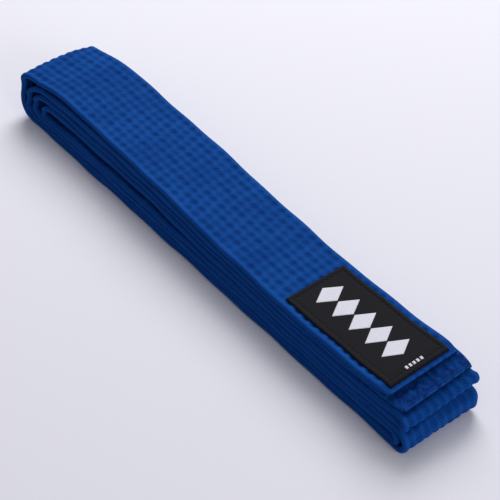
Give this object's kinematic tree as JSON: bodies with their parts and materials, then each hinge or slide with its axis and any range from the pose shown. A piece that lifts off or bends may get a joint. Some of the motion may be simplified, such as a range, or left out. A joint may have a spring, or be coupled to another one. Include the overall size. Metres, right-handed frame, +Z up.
{
  "type": "martial arts belt",
  "caption": "Quilted cotton martial arts belt, doubled into a flat bundle of layers, with a dark woven label at one end that lifts and unfolds.",
  "frame": {"origin": "bottom centre of the folded bundle's box, on the surface that it lies on", "axes": "+X along the bundle towards the label end, +Y across the strap, +Z up"},
  "size_m": [0.3196, 0.045, 0.0291],
  "materials": {
    "belt_cloth": "royal blue cotton twill, matt",
    "belt_thread": "blue sewing thread",
    "core_cotton": "undyed cotton drill",
    "label_cloth": "black woven label",
    "label_yarn": "pale woven yarn",
    "label_thread": "black sewing thread"
  },
  "bodies": {
    "bundle": {"bobbin_thread_row_1": "belt_thread", "bobbin_thread_row_2": "belt_thread", "bobbin_thread_row_3": "belt_thread", "bobbin_thread_row_4": "belt_thread", "bobbin_thread_row_5": "belt_thread", "bobbin_thread_row_6": "belt_thread", "bobbin_thread_row_7": "belt_thread", "bobbin_thread_row_8": "belt_thread", "bobbin_thread_row_9": "belt_thread", "core_ply_1": "core_cotton", "core_ply_2": "core_cotton", "core_ply_3": "core_cotton", "cover_far_fold_1_8": "belt_cloth", "cover_far_fold_2_7": "belt_cloth", "cover_far_fold_3_6": "belt_cloth", "cover_far_fold_4_5": "belt_cloth", "cover_near_fold_3_4": "belt_cloth", "cover_near_fold_5_8": "belt_cloth", "cover_near_fold_6_7": "belt_cloth", "cover_pass_2": "belt_cloth", "cover_pass_3": "belt_cloth", "cover_pass_4": "belt_cloth", "cover_pass_5": "belt_cloth", "cover_pass_6": "belt_cloth", "cover_pass_7": "belt_cloth", "cover_pass_8": "belt_cloth", "end_hem_b": "belt_cloth", "end_tack_stitches_b": "belt_thread", "needle_thread_row_1": "belt_thread", "needle_thread_row_2": "belt_thread", "needle_thread_row_3": "belt_thread", "needle_thread_row_4": "belt_thread", "needle_thread_row_5": "belt_thread", "needle_thread_row_6": "belt_thread", "needle_thread_row_7": "belt_thread", "needle_thread_row_8": "belt_thread", "needle_thread_row_9": "belt_thread", "outer_fold_bobbin_threads": "belt_thread", "outer_fold_core_plies": "core_cotton", "outer_fold_needle_threads": "belt_thread"},
    "label_pass": {"cover_pass_1": "belt_cloth", "label_pass_core_ply_1": "core_cotton", "label_pass_core_ply_2": "core_cotton", "label_pass_core_ply_3": "core_cotton", "label_pass_needle_threads": "belt_thread", "label_pass_bobbin_threads": "belt_thread", "end_hem_a": "belt_cloth", "end_tack_stitches_a": "belt_thread", "label_patch": "label_cloth", "label_woven_lozenges": "label_yarn", "label_woven_ticks": "label_yarn", "label_border_stitches": "label_thread"}
  },
  "joints": [
    {"name": "label_pass_unfold", "type": "hinge", "parent": "bundle", "child": "label_pass", "pos_m": [-0.15819, 0, 0.0142], "axis": [0, -1, 0], "range_deg": [0, 179.7], "deforming": ["cover_far_fold_1_8", "outer_fold_core_plies", "outer_fold_needle_threads", "outer_fold_bobbin_threads"]}
  ]
}
